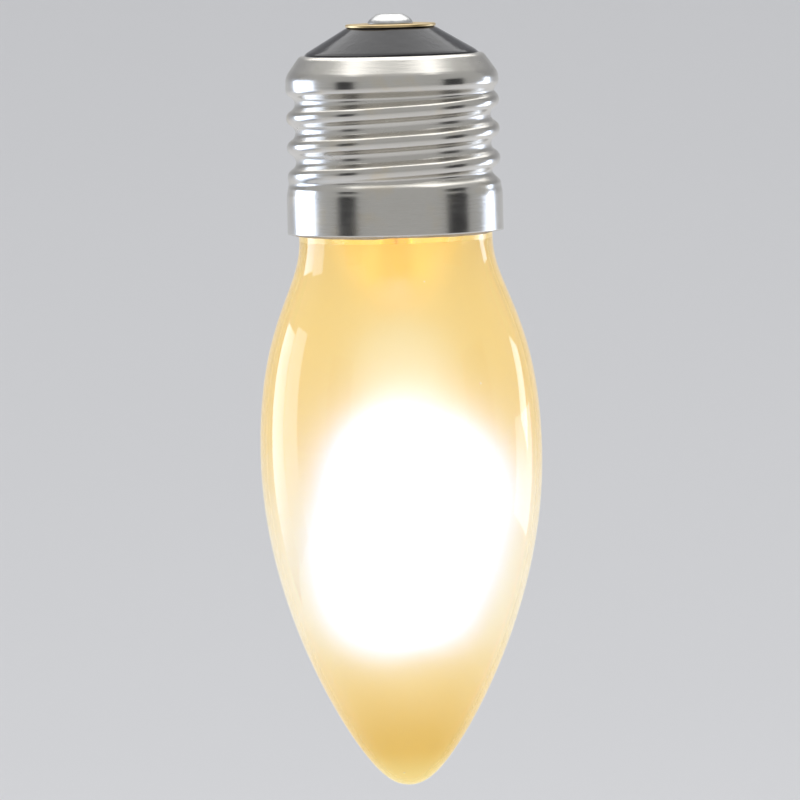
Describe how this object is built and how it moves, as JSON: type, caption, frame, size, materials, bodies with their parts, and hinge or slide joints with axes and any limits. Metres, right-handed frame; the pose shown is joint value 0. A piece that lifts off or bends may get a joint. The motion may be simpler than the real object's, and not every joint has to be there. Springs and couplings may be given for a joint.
{
  "type": "candle bulb",
  "caption": "Frosted candle-shaped light bulb, glass tapering to a small round tip, on a 27 mm screw cap with a soldered end contact; shown lit, tip down.",
  "frame": {"origin": "centre of the flat top of the end contact's solder, where a lamp holder's spring meets it", "axes": "+Z along the bulb's axis, from the tip up to the end contact, as it hangs in a holder; +Y towards the side lead and its bead on the rim"},
  "size_m": [0.035, 0.035, 0.096],
  "materials": {
    "frosted_glass": "glossy outside, frosted inside, glowing warm amber and white at its heart",
    "plated_brass": "thin drawn sheet, nickel plated, satin",
    "black_glass": "cast black glass, glossy",
    "contact_brass": "pressed sheet, bare",
    "solder": "dull bright tin solder, set from the melt",
    "lead_wire": "drawn copper-clad wire",
    "basing_cement": "baked tan cement, matte"
  },
  "bodies": {
    "root": {"glass_bulb": "frosted_glass", "cap_shell": "plated_brass", "cap_insulator": "black_glass", "contact_plate": "contact_brass", "contact_solder": "solder", "centre_lead": "lead_wire", "side_lead": "lead_wire", "basing_cement": "basing_cement", "rim_solder": "solder"}
  },
  "joints": []
}
